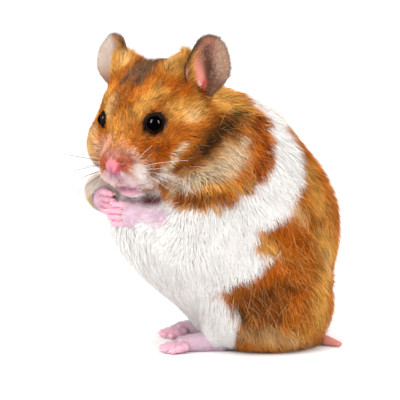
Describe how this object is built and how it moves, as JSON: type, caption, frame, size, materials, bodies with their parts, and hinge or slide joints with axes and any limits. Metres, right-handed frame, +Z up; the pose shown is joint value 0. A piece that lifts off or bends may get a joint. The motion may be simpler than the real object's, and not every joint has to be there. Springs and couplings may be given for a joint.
{
  "type": "hamster",
  "caption": "Still life-size model of a Syrian hamster sitting up on its hind feet, head turned, forepaws held under the chin.",
  "frame": {"origin": "on the floor under the trunk's flat underside, in the animal's middle plane", "axes": "+Z up, the body faces -Y, its left side is +X; the head is turned to its left"},
  "size_m": [0.0554, 0.0831, 0.1013],
  "materials": {
    "coat": "soft fur, orange brown with white bands and dark stripes",
    "pale_coat": "soft white fur",
    "bare_skin": "matt pink skin with sparse short hair",
    "ear_skin": "thin brown skin with fine down",
    "eye": "wet gloss"
  },
  "bodies": {
    "root": {"trunk": "coat", "neck": "coat", "head": "coat", "haunch_left": "coat", "haunch_right": "coat", "arm_left": "pale_coat", "arm_right": "pale_coat", "nose": "bare_skin", "tail": "bare_skin", "forepaw_left": "bare_skin", "forepaw_right": "bare_skin", "hind_foot_left": "bare_skin", "hind_foot_right": "bare_skin", "ear_left": "ear_skin", "ear_right": "ear_skin", "eye_left": "eye", "eye_right": "eye"}
  },
  "joints": []
}
